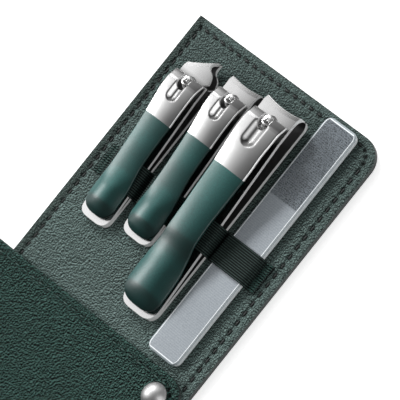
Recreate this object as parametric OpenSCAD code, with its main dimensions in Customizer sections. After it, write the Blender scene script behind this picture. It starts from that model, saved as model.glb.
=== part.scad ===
// A manicure set in a two-leaf leather case, opened as in use.
// The tool board lies flat. Three nail clippers and a glass file are held on it
// by one elastic band. The cover is turned a quarter turn about the press stud
// that joins the two leaves at one corner.
// Case frame, used inside the modules: X from the board's hemmed left edge,
// Y = 0 at its top edge and negative towards the stud, Z = 0 on the table.

/* [Case] */
// Distance from the hemmed edge to the slanted clipper
left_margin = 10.6; // [9:0.05:14]
// Distance from the band's sewn end to the right edge
right_margin = 4.5; // [3.5:0.1:8]
// Distance from the longest tool's end to the cover
cover_margin = 2.6; // [2:0.1:8]
// Radius of the two rounded corners
corner_r = 8; // [6:0.5:10]
// Thickness of the outer leather
shell_t = 1; // [0.8:0.1:1.4]
// Thickness of the stiffening card
card_t = 1.4; // [1.2:0.1:2]
// Thickness of the lining leather
lining_t = 0.6; // [0.4:0.1:1]
// Width of the outer leather folded over the left edge
hem_w = 3.2; // [2:0.1:5]
// Gap between the two leaves at the stud
leaf_gap = 0.5; // [0.4:0.1:1]

/* [Press stud] */
// Diameter of the domed cap
cap_d = 8.6; // [8:0.1:11]
// Height of the dome above its rim
dome_h = 2.4; // [1.5:0.1:3.5]
// Thickness of the cap's rim
rim_t = 0.5; // [0.3:0.1:1]
// Radius of the stud that the socket snaps over
stud_r = 1.9; // [1.8:0.05:2.1]
// Height of the stud above the board
stud_h = 2.6; // [2:0.1:2.7]
// Radius of the cap's barrel, which the cover turns on
barrel_r = 2.95; // [2.8:0.05:3.3]
// Radius of the eyelet's barrel through the board
eyelet_r = 1.5; // [1.2:0.1:1.6]
// Radius of the socket ring, the stud's foot and the eyelet's flange
flange_r = 4.5; // [4.2:0.1:5.5]
// Thickness of the stud's foot and the eyelet's flange
flange_t = 0.4; // [0.3:0.05:0.4]
// Height of the socket ring
socket_h = 1.6; // [1.4:0.1:2]
// Running clearance in the stud
stud_fit = 0.05; // [0.02:0.01:0.08]

/* [Elastic band] */
// Distance from the board's top edge to the middle of the band
band_y = 55; // [54:0.5:57]
// Width of the band
band_w = 11; // [8:0.5:12]
// Thickness of the elastic
band_t = 0.8; // [0.6:0.1:0.9]
// Distance from the left edge to the band's sewn end
band_left = 4.8; // [4:0.1:6]
// Length of the sewn tab past the file
band_tab = 4.15; // [3:0.05:5]
// Clearance between the band and the tools
band_gap = 0.3; // [0.25:0.05:0.4]
// How far the band's foot stands out beside a tool
band_foot = 0.9; // [0.5:0.1:1]

/* [Large clipper] */
// Gap between the small clipper and the large one
large_gap = 3.35; // [2.2:0.05:5]
// Distance from the top edge to its tail
large_tail = 87.4; // [87:0.1:90]
// Length of the large clipper
large_len = 79.4; // [77:0.1:82]
// Thickness of its arms
large_arm_t = 1.4; // [1.2:0.1:1.5]
// Width of its arms
large_arm_w = 14; // [13:0.1:14.4]
// Width across its jaws
large_jaw_w = 14.3; // [14:0.1:16]
// Height of the upper arm's top at the post
large_arm_top = 10.1; // [9.5:0.1:11]
// Distance from the cutting edge back to the post
large_post_back = 7.2; // [7:0.1:8]
// Radius of its post
large_post_r = 1.85; // [1.7:0.05:1.9]
// How far the upper jaw is bent down
large_nose_drop = 4.4; // [3.6:0.1:4.6]

/* [Small clippers] */
// Distance from the top edge to its tail
slant_tail = 73.3; // [72:0.1:75]
// Gap between the two small clippers
small_gap = 4; // [2.2:0.1:6]
// Distance from the top edge to its tail
small_tail = 69.8; // [69:0.1:72]
// Length of the straight clipper
small_len = 60.2; // [59:0.1:62]
// Thickness of the arms
small_arm_t = 1.2; // [1:0.1:1.3]
// Width of the arms
small_arm_w = 11.7; // [11:0.1:12]
// Width across the straight jaws
small_jaw_w = 11.9; // [11.7:0.1:12.6]
// Height of the upper arm's top at the post
small_arm_top = 7.4; // [7:0.1:8]
// Distance from the cutting edge back to the post
small_post_back = 7.2; // [7:0.1:8]
// Radius of the post
small_post_r = 1.7; // [1.6:0.05:1.8]
// How far the upper jaw is bent down
small_nose_drop = 3; // [2.6:0.1:3.2]
// Angle of the slanted cutting edge
slant_a = 31; // [25:1:35]
// How far the slanted tip reaches past the straight jaws
slant_reach = 4; // [3:0.1:4.5]

/* [Clipper details] */
// Radius of the hollow cutting edge
edge_r = 33; // [28:1:45]
// Opening between the cutting edges
jaw_gap = 1.2; // [1.1:0.1:1.5]
// Distance from the tail to the rivet
rivet_back = 5.8; // [5:0.1:6]
// Radius of the rivet's shank
rivet_r = 1.3; // [1:0.1:1.4]
// Radius of the rivet's head
rivet_head_r = 1.9; // [1.7:0.1:2]
// Height that the lower arm stands above the lining at the post
arm_lift = 0.9; // [0.8:0.1:1.1]
// Height of the lever's pivot above the upper arm
pivot_h = 1.85; // [1.8:0.05:2.1]
// Radius of the lever's pivot bar
pivot_r = 0.62; // [0.55:0.01:0.65]
// Running clearance of the pivot bar in the post
pivot_fit = 0.05; // [0.02:0.01:0.08]
// Height of the post above the pivot
post_head_h = 2.3; // [2.1:0.1:2.4]
// Distance from the large clipper's tail to its lever's end
large_lever_back = 2.6; // [2.2:0.1:6]
// Thickness of the large lever
large_lever_t = 1.3; // [1.1:0.1:1.4]
// Width of the large lever at its head, middle and spoon
large_lever_w = [14, 12.4, 14.5];
// Distance from a small clipper's tail to its lever's end
small_lever_back = 2; // [1.8:0.1:5]
// Thickness of the small levers
small_lever_t = 1.1; // [1:0.1:1.2]
// Width of a small lever at its head, middle and spoon
small_lever_w = [11.4, 9, 12.2];
// Height of the large lever's top at its end
large_lever_end = 5.2; // [5:0.1:6]
// Height of a small lever's top at its end
small_lever_end = 3.9; // [3.8:0.1:4.4]

/* [Glass file] */
// Gap between the large clipper and the file
file_gap = 3.1; // [2.2:0.05:5]
// Distance from the top edge to the file's top
file_top = 1.4; // [1:0.1:3]
// Length of the file
file_l = 92; // [88:0.5:92]
// Width of the file
file_w = 13.1; // [12:0.1:13.2]
// Thickness of the file
file_t = 2.6; // [2:0.1:3]
// Radius of the file's corners
file_corner = 2; // [1:0.1:4]
// Bevel along the file's edges
file_bevel = 0.5; // [0.2:0.1:0.8]

/* [Hidden] */
$fn = 64;

// Each tool takes its place from the widths of those on its left.
small_half = max(small_arm_w, small_jaw_w, small_lever_w[0], small_lever_w[2]) / 2;
large_half = max(large_arm_w, large_jaw_w, large_lever_w[0], large_lever_w[2]) / 2;
slant_x = left_margin + small_half;
small_x = slant_x + small_half + small_gap + small_half;
large_x = small_x + small_half + large_gap + large_half;
file_x = large_x + large_half + file_gap + file_w / 2;
band_end = file_x + file_w / 2 + band_gap + band_tab;

// The leaves' size follows from the tools that they hold.
longest_end = max(file_top + file_l, large_tail, small_tail, slant_tail);
case_w = band_end + right_margin;
case_l = longest_end + cover_margin + 2 * corner_r;

// The press stud is concentric with one rounded corner of both leaves.
leaf_t = shell_t + card_t + lining_t;
stud_x = case_w - corner_r;
stud_y = -(case_l - corner_r);
cover_z = leaf_t + leaf_gap;
origin_x = case_w - case_l / 2;
origin_y = (2 * corner_r - case_l - case_w) / 2;

// Indexes of the clippers in the lists below
SLANT = 0;
SMALL = 1;
LARGE = 2;
clip_x = [slant_x, small_x, large_x];
clip_tail = [slant_tail, small_tail, large_tail];
clip_len = [small_len, small_len, large_len];
arm_t = [small_arm_t, small_arm_t, large_arm_t];
arm_w = [small_arm_w, small_arm_w, large_arm_w];
jaw_w = [small_jaw_w, small_jaw_w, large_jaw_w];
arm_top = [small_arm_top, small_arm_top, large_arm_top];
post_u = [small_len - small_post_back, small_len - small_post_back,
          large_len - large_post_back];
post_r = [small_post_r, small_post_r, large_post_r];
nose_drop = [small_nose_drop, small_nose_drop, large_nose_drop];
lever_l = [post_u[SLANT] - small_lever_back, post_u[SMALL] - small_lever_back,
           post_u[LARGE] - large_lever_back];
lever_t = [small_lever_t, small_lever_t, large_lever_t];
lever_w = [small_lever_w, small_lever_w, large_lever_w];
lever_end = [small_lever_end, small_lever_end, large_lever_end];
// Where a lever's narrow middle starts and ends, in shares of its length
lever_waist = [[0.45, 0.55], [0.45, 0.55], [0.28, 0.68]];
// Side curve of a lever: shares of its length against shares of its fall
small_fall = [[0.12, 0], [0.216, 0.03], [0.314, 0.1], [0.45, 0.2], [0.55, 0.305], [0.65, 0.46],
              [0.745, 0.61], [0.843, 0.746], [1, 1]];
large_fall = [[0.09, 0], [0.174, 0.03], [0.283, 0.095], [0.406, 0.15], [0.52, 0.216], [0.61, 0.31],
              [0.68, 0.44], [0.74, 0.575], [0.8, 0.685], [0.87, 0.78], [1, 1]];
lever_fall = [small_fall, small_fall, large_fall];
lip_curl = 0.3;
// Where the spoon is at its full width, as a share of its length
spoon_full = 0.62;

// The arms run level for this far behind the post.
level_back = 4;
// The head zone in front of the post, where the jaws are turned
jaw_flat = 4.6;
jaw_depth = 8;
edge_t = 0.25;
bevel_w = 1.75;
bevel_drop = 0.9;
rivet_gap = 0.08;
rivet_seat = 0.15;
rivet_head_h = 0.55;
rivet_sink = 0.7;
rivet_fit = 0.02;
flange_over = 0.8;
post_hole_gap = 0.75;
lip = 1.35;
arm_gap = 0.02;
// Room round the post in a lever's hole, and how far the hole runs on behind
lever_hole_gap = 0.35;
lever_hole_run = 1.6;
// Length of the groove behind the hole, in shares of the lever's length
groove_share = [0.135, 0.135, 0.12];
// Slanted head: right end of the edge, middle of the edge, and the hook's corner
slant_tip_x = 3.3;
slant_mid = [-0.9, 1.3];
slant_hook = 2.3;
far = 40;

// Slope of an upper arm between the rivet and the level zone
function arm_rise(k) = atan((arm_top[k] - 2 * arm_t[k])
                            / (post_u[k] - level_back - rivet_back));
// Height of an upper arm's top at the distance u from its tail
function arm_z(k, u) = 2 * arm_t[k] + tan(arm_rise(k)) * max(u - rivet_back, 0);
function pivot_z(k) = arm_top[k] + pivot_h;

// Points of a quadratic curve from a to c, drawn towards b
function bend(a, b, c, n = 8) =
    [for (i = [0:n]) let (t = i / n)
        (1 - t) * (1 - t) * a + 2 * t * (1 - t) * b + t * t * c];

// Points of an arc about c
function arc(c, r, from, to, n = 10) =
    [for (i = [0:n]) let (a = from + (to - from) * i / n)
        [c[0] + r * cos(a), c[1] + r * sin(a)]];

// A smooth curve through control points, which keeps to their ends
function through(p, n = 6) = concat(
    [for (i = [0:len(p) - 2], j = [0:n - 1]) let (
        t = j / n,
        a = p[max(i - 1, 0)], b = p[i], c = p[i + 1], d = p[min(i + 2, len(p) - 1)])
        0.5 * (2 * b + (c - a) * t + (2 * a - 5 * b + 4 * c - d) * t * t
               + (3 * b - a - 3 * c + d) * t * t * t)],
    [p[len(p) - 1]]);

function flip(p) = [for (i = [len(p) - 1:-1:0]) p[i]];
function mirrored(p) = [for (q = flip(p)) [-q[0], q[1]]];

// Case frame to the part's own frame
module in_case() { translate([-origin_x, -origin_y, 0]) children(); }

// Frame of one clipper: the middle of its tail on the lining, +Y to its jaws
module on_board(k) {
    in_case() translate([clip_x[k], -clip_tail[k], leaf_t]) children();
}

module about_stud(z = 0) { in_case() translate([stud_x, stud_y, z]) children(); }

// The cover's layers are drawn as the board's are and turned over about the stud.
module in_cover() {
    about_stud(cover_z + leaf_t)
        rotate([0, 0, 90]) mirror([0, 0, 1])
            translate([-stud_x, -stud_y, 0]) children();
}

// Outline of a leaf, sharp at the hemmed left edge and rounded at the right
module leaf_outline(left = 0) {
    translate([left, -case_l]) square([case_w - corner_r - left, case_l]);
    translate([left, corner_r - case_l]) square([case_w - left, case_l - 2 * corner_r]);
    for (y = [-corner_r, corner_r - case_l])
        translate([case_w - corner_r, y]) circle(corner_r);
}

// Outer leather, folded over the left edge as a hem
module shell_sheet() {
    linear_extrude(shell_t) leaf_outline();
    translate([0, -case_l, shell_t]) cube([lining_t, case_l, card_t]);
    translate([0, -case_l, leaf_t - lining_t]) cube([hem_w, case_l, lining_t]);
}

module card_sheet() {
    translate([0, 0, shell_t]) linear_extrude(card_t) leaf_outline(lining_t);
}

module lining_sheet() {
    translate([0, 0, shell_t + card_t]) linear_extrude(lining_t) leaf_outline(hem_w);
}

// Holes in the board for the eyelet
module board_holes() {
    translate([stud_x, stud_y, -1]) cylinder(r = eyelet_r + stud_fit, h = leaf_t + 2);
    translate([stud_x, stud_y, -1]) cylinder(r = flange_r + stud_fit, h = flange_t + 1);
}

// Holes in the cover for the cap's barrel and the socket ring
module cover_holes() {
    translate([stud_x, stud_y, -1]) cylinder(r = barrel_r + stud_fit, h = leaf_t + 2);
    translate([stud_x, stud_y, leaf_t - socket_h])
        cylinder(r = flange_r + 2 * stud_fit, h = socket_h + 1);
}

module board_shell() {
    color("#1f3a35") in_case() difference() {
        shell_sheet();
        board_holes();
    }
}

module board_card() {
    color("#6b6256") in_case() difference() {
        card_sheet();
        board_holes();
    }
}

module board_lining() {
    color("#4a6660") in_case() difference() {
        lining_sheet();
        board_holes();
    }
}

module cover_shell() {
    color("#1f3a35") in_cover() difference() {
        shell_sheet();
        cover_holes();
    }
}

module cover_card() {
    color("#6b6256") in_cover() difference() {
        card_sheet();
        cover_holes();
    }
}

module cover_lining() {
    color("#4a6660") in_cover() difference() {
        lining_sheet();
        cover_holes();
    }
}

// Eyelet from the board's underside, with a flush flange
module snap_post() {
    color("silver") about_stud() {
        cylinder(r = flange_r, h = flange_t);
        cylinder(r = eyelet_r, h = leaf_t + flange_t);
    }
}

// Stud on the lining, waisted under its head
module snap_stud() {
    waist = 0.25;
    color("silver") about_stud(leaf_t) difference() {
        rotate_extrude() polygon([
            [0, 0], [flange_r - 0.2, 0], [flange_r - 0.2, flange_t - 0.05],
            [stud_r - waist, flange_t - 0.05], [stud_r - waist, stud_h * 0.45],
            [stud_r, stud_h * 0.6], [stud_r, stud_h - waist],
            [stud_r - waist, stud_h], [0, stud_h]]);
        translate([0, 0, -1]) cylinder(r = eyelet_r + stud_fit / 2, h = flange_t + 1);
    }
}

// Ring in the cover's lining that snaps over the stud
module snap_socket() {
    lead = 0.3;
    color("gray") about_stud(cover_z) rotate_extrude() polygon([
        [stud_r + stud_fit + lead, 0], [flange_r, 0], [flange_r, socket_h],
        [stud_r + stud_fit, socket_h], [stud_r + stud_fit, lead]]);
}

// Domed cap with the barrel that holds the socket
module snap_cap() {
    cap_r = cap_d / 2;
    dome_r = (cap_r * cap_r + dome_h * dome_h) / (2 * dome_h);
    bore_r = stud_r + 4 * stud_fit;
    color("gainsboro") about_stud(cover_z + socket_h) difference() {
        union() {
            cylinder(r = barrel_r, h = leaf_t - socket_h);
            translate([0, 0, leaf_t - socket_h]) {
                cylinder(r = cap_r, h = rim_t);
                intersection() {
                    translate([0, 0, rim_t + dome_h - dome_r]) sphere(dome_r);
                    translate([0, 0, rim_t]) cylinder(r = cap_r, h = dome_h + 1);
                }
            }
        }
        translate([0, 0, -1]) cylinder(r = bore_r, h = leaf_t - socket_h + 1);
    }
}

// Section of the band over one tool, with rounded shoulders and spread feet
module hump_section(half, top, round_r, foot) {
    polygon(concat(
        [[-half - foot, -top], [-half - foot, 0]],
        arc([-half + round_r, top - round_r], round_r, 180, 90, 6),
        arc([half - round_r, top - round_r], round_r, 90, 0, 6),
        [[half + foot, 0], [half + foot, -top]]));
}

// One hump of the band, out by extra, tilted as the tool's top is
module hump(x, half, top, tilt, extra, past) {
    shoulder = 1;
    intersection() {
        translate([x, -band_y, leaf_t]) rotate([90 + tilt, 0, 0])
            linear_extrude(3 * band_w, center = true)
                hump_section(half + extra, top + extra, shoulder + extra, band_foot);
        translate([0, -band_y - band_w / 2 - past, leaf_t - past])
            cube([case_w, band_w + 2 * past, far]);
    }
}

module humps(extra, past) {
    for (k = [SLANT, SMALL, LARGE])
        hump(clip_x[k], arm_w[k] / 2 + band_gap,
             arm_z(k, clip_tail[k] - band_y) + band_gap, arm_rise(k), extra, past);
    hump(file_x, file_w / 2 + band_gap, file_t + band_gap, 0, extra, past);
}

// The elastic goes over the arms and the file, and down to the lining between them.
module elastic_band() {
    color("#16211f") in_case() difference() {
        union() {
            translate([band_left, -band_y - band_w / 2, leaf_t])
                cube([band_end - band_left, band_w, band_t]);
            humps(band_t, 0);
        }
        humps(0, 1);
    }
}

// Extrudes a side view, drawn in distance from the tail and height, across X.
module across(w) {
    rotate([90, 0, 90]) linear_extrude(w, center = true) children();
}

// Half outline of an arm seen from above: rounded tail, straight sides, wider jaws
function arm_side(k) = let (w = arm_w[k] / 2, j = jaw_w[k] / 2, l = clip_len[k]) concat(
    bend([w * 0.35, 0], [w, 0], [w, w * 0.65]),
    bend([w, post_u[k]], [w, l - 3], [j, l + 0.6], 4),
    [[j, l + 2]]);

module arm_outline(k) {
    polygon(concat(arm_side(k), mirrored(arm_side(k))));
}

// The slanted head keeps the left side and is cut back in a hook on the right.
module slant_outline() {
    w = arm_w[SLANT] / 2;
    l = clip_len[SLANT];
    tip = [slant_tip_x, l + slant_reach + 0.2];
    side = arm_side(SLANT);
    tail = [for (i = [0:8]) side[i]];
    head = concat(
        bend([w, post_u[SLANT] + 1.5], [w, l - 1.6], [w - slant_hook, l - 0.2]),
        bend([w - slant_hook, l - 0.2], [w - 2 * slant_hook - 0.5, l + 1], tip),
        [[tip[0], l + far], [-w, l + far]]);
    polygon(concat(tail, head, mirrored(tail)));
}

// Turns children about the upright axis that a hollow cutting edge runs round.
module round_edge(k) {
    if (k == SLANT) {
        r = 2 * edge_r;
        translate([slant_mid[0] - sin(slant_a) * r, clip_len[SLANT] + slant_mid[1] + cos(slant_a) * r, 0])
            rotate_extrude($fn = 180) translate([r, 0]) children();
    } else {
        sag = edge_r - sqrt(edge_r * edge_r - pow(jaw_w[k] / 2, 2));
        translate([0, clip_len[k] - sag + edge_r, 0])
            rotate_extrude($fn = 180) translate([edge_r, 0]) children();
    }
}

function edge_high(k) = arm_top[k] - nose_drop[k];
function edge_low(k) = edge_high(k) - jaw_gap;

// Section of the upper jaw: bevelled top, then the nose bent steeply down to the edge
module upper_jaw_section(k) {
    t = arm_t[k];
    z = arm_top[k];
    polygon(concat(
        [[0, edge_high(k)]],
        bend([0.12, z - bevel_drop - 0.7], [0.15, z - bevel_drop], [0.55, z - bevel_drop + 0.25], 5),
        [[bevel_w, z], [jaw_depth, z], [jaw_depth, z - t]],
        bend([3.4, z - t], [1.1, z - t], [edge_t, edge_high(k)])));
}

// Section of the lower jaw, which sweeps up to meet the upper one
module lower_jaw_section(k) {
    t = arm_t[k];
    z = arm_lift;
    polygon(concat(
        bend([0, edge_low(k)], [0.1, z], [2.6, z]),
        [[jaw_depth, z], [jaw_depth, z + t]],
        bend([3.6, z + t], [1.2, z + t], [edge_t, edge_low(k)])));
}

module head_outline(k) {
    if (k == SLANT) slant_outline();
    else arm_outline(k);
}

// Where the extruded strip stops and the turned jaw goes on
function strip_end(k) = k == SLANT ? clip_len[k] - jaw_flat - 0.6 : clip_len[k] - jaw_flat;

module lower_arm(k) {
    t = arm_t[k];
    u = post_u[k];
    rest_u = rivet_back + rivet_head_r + 0.5;
    flat_u = u - level_back + 0.5;
    color("silver") on_board(k) difference() {
        intersection() {
            union() {
                across(far) polygon([
                    [0, 0], [rest_u, 0], [flat_u, arm_lift], [strip_end(k), arm_lift],
                    [strip_end(k), arm_lift + t], [flat_u, arm_lift + t], [rest_u, t], [0, t]]);
                round_edge(k) lower_jaw_section(k);
            }
            linear_extrude(far) head_outline(k);
        }
        translate([0, u, -1]) cylinder(r = post_r[k] + rivet_fit, h = far);
        translate([0, rivet_back, -1]) cylinder(r = rivet_r + rivet_fit, h = far);
        translate([0, rivet_back, 0])
            cylinder(r1 = rivet_head_r + rivet_fit, r2 = rivet_r + rivet_fit, h = rivet_sink);
    }
}

module upper_arm(k) {
    t = arm_t[k];
    u = post_u[k];
    rise = arm_rise(k);
    flat_u = u - level_back;
    drop = t / cos(rise);
    color("gainsboro") on_board(k) difference() {
        intersection() {
            union() {
                across(far) polygon([
                    [0, t + arm_gap], [rivet_back, t + arm_gap],
                    [flat_u + t * tan(rise / 2), arm_top[k] - t],
                    [strip_end(k), arm_top[k] - t], [strip_end(k), arm_top[k]],
                    [flat_u, arm_top[k]], [rivet_back, 2 * t], [0, 2 * t]]);
                round_edge(k) upper_jaw_section(k);
            }
            linear_extrude(far) head_outline(k);
        }
        translate([0, u, -1]) cylinder(r = post_r[k] + post_hole_gap, h = far);
        translate([0, rivet_back, -1]) cylinder(r = rivet_r + rivet_gap, h = far);
        // level seat for the rivet's head
        translate([0, rivet_back, 2 * t]) cylinder(r = rivet_head_r + rivet_seat, h = far);
    }
}

// Post: flange under the lower arm, shank, notch for the pivot bar, domed head
module post(k) {
    r = post_r[k];
    shoulder_h = 1;
    dome_w = r * 0.62;
    top = pivot_z(k) + post_head_h;
    color("silver") on_board(k) translate([0, post_u[k], 0]) difference() {
        rotate_extrude() polygon(concat(
            [[0, 0], [r + flange_over - 0.2, 0], [r + flange_over, 0.2],
             [r + flange_over, arm_lift], [r, arm_lift],
             [r, pivot_z(k) + shoulder_h - 0.25], [r - 0.25, pivot_z(k) + shoulder_h]],
            bend([dome_w, pivot_z(k) + shoulder_h + 0.1], [dome_w, top], [0, top])));
        translate([0, 0, pivot_z(k)]) rotate([0, 90, 0])
            cylinder(r = pivot_r + pivot_fit, h = far, center = true);
        translate([-far / 2, 0, pivot_z(k) - pivot_r - pivot_fit])
            cube([far, far, 2 * (pivot_r + pivot_fit)]);
    }
}

// Tail rivet: sunk head below, low domed head above
module rivet(k) {
    t = arm_t[k];
    head_z = 2 * t + rivet_gap;
    color("silver") on_board(k) translate([0, rivet_back, 0]) rotate_extrude()
        polygon(concat(
            [[0, 0], [rivet_head_r, 0], [rivet_r, rivet_sink], [rivet_r, head_z],
             [rivet_head_r, head_z]],
            bend([rivet_head_r, head_z + 0.15],
                 [rivet_head_r * 0.7, head_z + rivet_head_h], [0, head_z + rivet_head_h])));
}

// Top of a lever: level behind the pivot, down over the waist, and along the spoon
function lever_top(k) = let (
    h = pivot_z(k) + lever_t[k] / 2, l = lever_l[k], d = h - lever_end[k])
    through(concat([[-lip, h - lip_curl], [-lip / 3, h]],
                   [for (f = lever_fall[k]) [f[0] * l, h - f[1] * d]]), 4);

// Half outline of a lever, from the lips in front of the pivot to the spoon's end
function lever_side(k) = let (
    l = lever_l[k], w = lever_w[k] / 2, a = lever_waist[k][0], b = lever_waist[k][1])
    concat(
        bend([w[0] - 1, lip], [w[0] - 0.1, lip], [w[0] - 0.1, lip - 1], 3),
        through(concat(
            [[w[0], 0]],
            [for (f = [[0.3, 0.92], [0.6, 0.45], [1, 0]])
                [w[1] + f[1] * (w[0] - w[1]), -f[0] * a * l]],
            [for (f = [[0, 0], [0.2, 0.32], [0.4, 0.77], [spoon_full, 1]])
                [w[1] + f[1] * (w[2] - w[1]), -(b + f[0] * (1 - b)) * l]]), 4),
        [for (i = [1:8]) let (q = 90 * i / 8.4, c = (1 - b) * (1 - spoon_full))
            [w[2] * pow(cos(q), 0.7), -l * (1 - c + c * pow(sin(q), 0.95))]],
        [[w[2] * 0.12, -l]]);

module lever(k) {
    h = pivot_z(k);
    t = lever_t[k];
    hole = post_r[k] + lever_hole_gap;
    groove_w = hole * 0.95;
    groove_l = lever_l[k] * groove_share[k];
    top = lever_top(k);
    color("#1d5a50") on_board(k) translate([0, post_u[k], 0]) {
        difference() {
            intersection() {
                mirror([0, 1, 0]) across(far) polygon(concat(
                    top, [for (p = flip(top)) [p[0], p[1] - t]]));
                linear_extrude(far) polygon(concat(lever_side(k), mirrored(lever_side(k))));
            }
            // through hole that lets the post's head pass as the lever is lifted
            linear_extrude(far) {
                circle(hole);
                translate([0, -lever_hole_run]) circle(hole);
                translate([-hole, -lever_hole_run]) square([2 * hole, lever_hole_run]);
                translate([-hole, 0]) square([2 * hole, far]);
            }
            // pressed groove behind the hole
            translate([0, 0, h]) linear_extrude(far) {
                translate([0, -groove_l]) circle(groove_w);
                translate([-groove_w, -groove_l]) square([2 * groove_w, groove_l - 2]);
            }
        }
        translate([0, 0, h]) rotate([0, 90, 0])
            cylinder(r = pivot_r, h = 2 * hole + 2, center = true);
    }
}

// Section of the file's width or length, with bevelled edges
module file_section(w) {
    polygon([
        [-w / 2 + file_bevel, 0], [w / 2 - file_bevel, 0], [w / 2, file_bevel],
        [w / 2, file_t - file_bevel], [w / 2 - file_bevel, file_t],
        [-w / 2 + file_bevel, file_t], [-w / 2, file_t - file_bevel], [-w / 2, file_bevel]]);
}

// Glass plate with bevelled edges and rounded corners
module glass_file() {
    color("lightgray", 0.7) in_case()
        translate([file_x, -file_top - file_l / 2, leaf_t]) intersection() {
            rotate([90, 0, 0]) linear_extrude(file_l, center = true) file_section(file_w);
            rotate([90, 0, 90]) linear_extrude(file_w, center = true) file_section(file_l);
            linear_extrude(file_t) {
                square([file_w, file_l - 2 * file_corner], center = true);
                square([file_w - 2 * file_corner, file_l], center = true);
                for (x = [-1, 1], y = [-1, 1])
                    translate([x * (file_w / 2 - file_corner), y * (file_l / 2 - file_corner)])
                        circle(file_corner);
            }
        }
}

module slant_lower_arm() { lower_arm(SLANT); }
module slant_upper_arm() { upper_arm(SLANT); }
module slant_post() { post(SLANT); }
module slant_rivet() { rivet(SLANT); }
module slant_lever() { lever(SLANT); }
module small_lower_arm() { lower_arm(SMALL); }
module small_upper_arm() { upper_arm(SMALL); }
module small_post() { post(SMALL); }
module small_rivet() { rivet(SMALL); }
module small_lever() { lever(SMALL); }
module large_lower_arm() { lower_arm(LARGE); }
module large_upper_arm() { upper_arm(LARGE); }
module large_post() { post(LARGE); }
module large_rivet() { rivet(LARGE); }
module large_lever() { lever(LARGE); }

board_shell();
board_card();
board_lining();
elastic_band();
snap_post();
snap_stud();
snap_socket();
snap_cap();
cover_shell();
cover_card();
cover_lining();
slant_lower_arm();
slant_upper_arm();
slant_post();
slant_rivet();
slant_lever();
small_lower_arm();
small_upper_arm();
small_post();
small_rivet();
small_lever();
large_lower_arm();
large_upper_arm();
large_post();
large_rivet();
large_lever();
glass_file();
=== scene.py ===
"""Looks of the manicure set case. Lengths in millimetres of the case frame: X from the
board's hemmed left edge, Y = 0 at its top edge, Z = 0 on the table."""
import math

import bmesh
import bpy
from mathutils import Matrix, Vector


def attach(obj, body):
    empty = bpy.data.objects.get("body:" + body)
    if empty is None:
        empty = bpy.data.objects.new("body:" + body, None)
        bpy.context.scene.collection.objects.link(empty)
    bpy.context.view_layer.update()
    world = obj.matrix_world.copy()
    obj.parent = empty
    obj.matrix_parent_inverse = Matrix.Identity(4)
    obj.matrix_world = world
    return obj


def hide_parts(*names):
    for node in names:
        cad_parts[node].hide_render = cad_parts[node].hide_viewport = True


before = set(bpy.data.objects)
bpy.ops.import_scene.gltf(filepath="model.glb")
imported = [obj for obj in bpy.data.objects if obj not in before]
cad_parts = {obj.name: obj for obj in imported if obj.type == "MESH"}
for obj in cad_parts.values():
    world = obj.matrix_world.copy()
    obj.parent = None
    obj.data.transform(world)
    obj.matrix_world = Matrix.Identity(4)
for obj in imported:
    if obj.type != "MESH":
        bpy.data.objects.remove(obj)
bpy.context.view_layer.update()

MM = 0.001
ORIGIN = (26.0, -89.0)
CASE_W, CASE_L, CORNER_R = 82.0, 112.0, 8.0
LEAF_T, SHELL_T, LINING_T, HEM_W = 3.0, 1.0, 0.6, 3.2
STUD = (CASE_W - CORNER_R, CORNER_R - CASE_L)
COVER_Z = 3.5
SHARP = math.radians(38)


def at(x, y, z):
    """Case frame in millimetres to the row's frame in metres."""
    return Vector(((x - ORIGIN[0]) * MM, (y - ORIGIN[1]) * MM, z * MM))


def cover_at(x, y, z):
    """A point of a leaf drawn as the board is, to where it is on the turned cover."""
    dx, dy = x - STUD[0], y - STUD[1]
    return at(STUD[0] - dy, STUD[1] + dx, COVER_Z + LEAF_T - z)


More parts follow.
